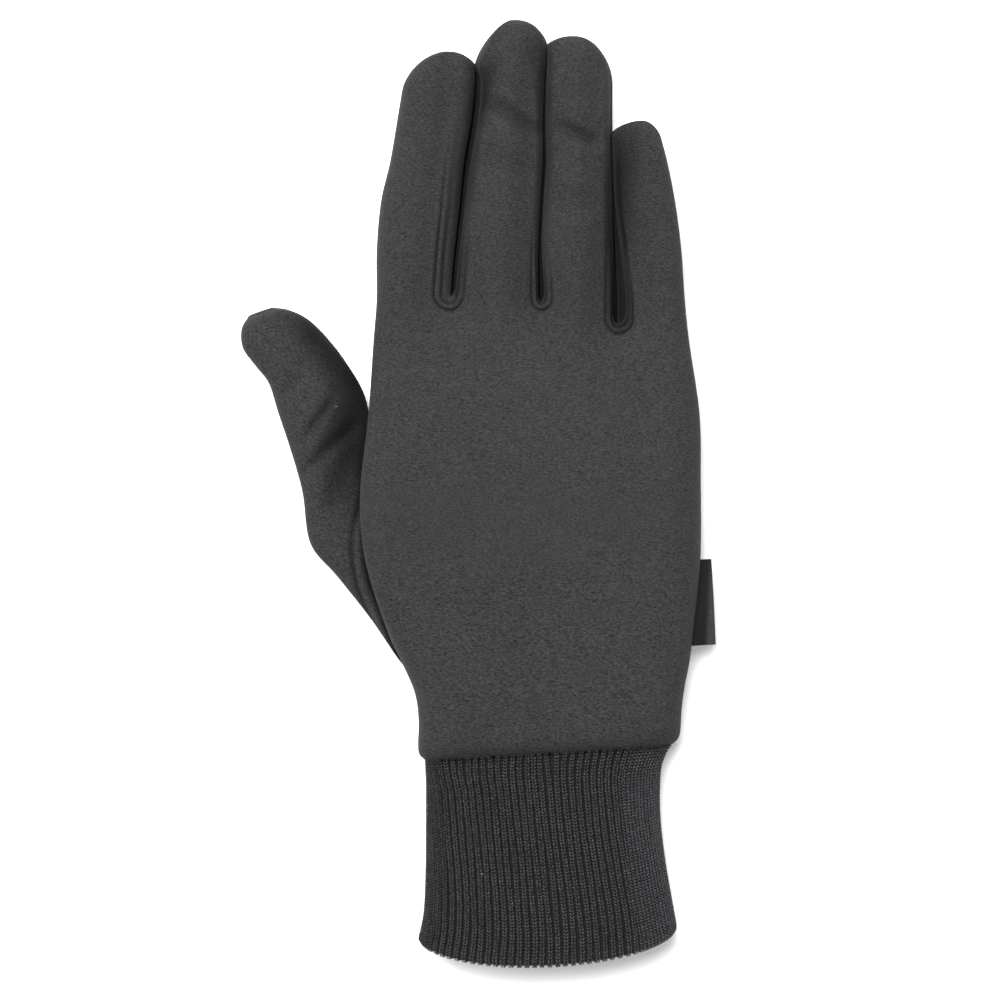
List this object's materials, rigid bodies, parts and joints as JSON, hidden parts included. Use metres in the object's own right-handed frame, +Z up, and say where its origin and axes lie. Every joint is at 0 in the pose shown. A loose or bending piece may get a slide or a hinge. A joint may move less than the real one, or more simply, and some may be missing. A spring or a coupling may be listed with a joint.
{
  "type": "glove liner",
  "caption": "Right-hand knitted glove liner lying palm down, with separate finger gussets, a set-in thumb, a ribbed wrist cuff and a folded side label.",
  "frame": {"origin": "on the surface that the glove lies on, under the middle of the palm", "axes": "+X towards the little finger's side, +Y along the hand towards the fingertips, +Z up through the back of the hand"},
  "size_m": [0.133, 0.265, 0.02],
  "materials": {
    "shell_cloth": "brushed heather jersey",
    "gusset_cloth": "brushed heather jersey",
    "cuff_knit": "one by one rib knit",
    "label_satin": "woven satin tape"
  },
  "bodies": {
    "root": {"hand_shell": "shell_cloth", "gusset_index_middle": "gusset_cloth", "gusset_middle_ring": "gusset_cloth", "gusset_ring_little": "gusset_cloth", "thumb": "shell_cloth", "rib_cuff": "cuff_knit", "side_label": "label_satin"}
  },
  "joints": []
}
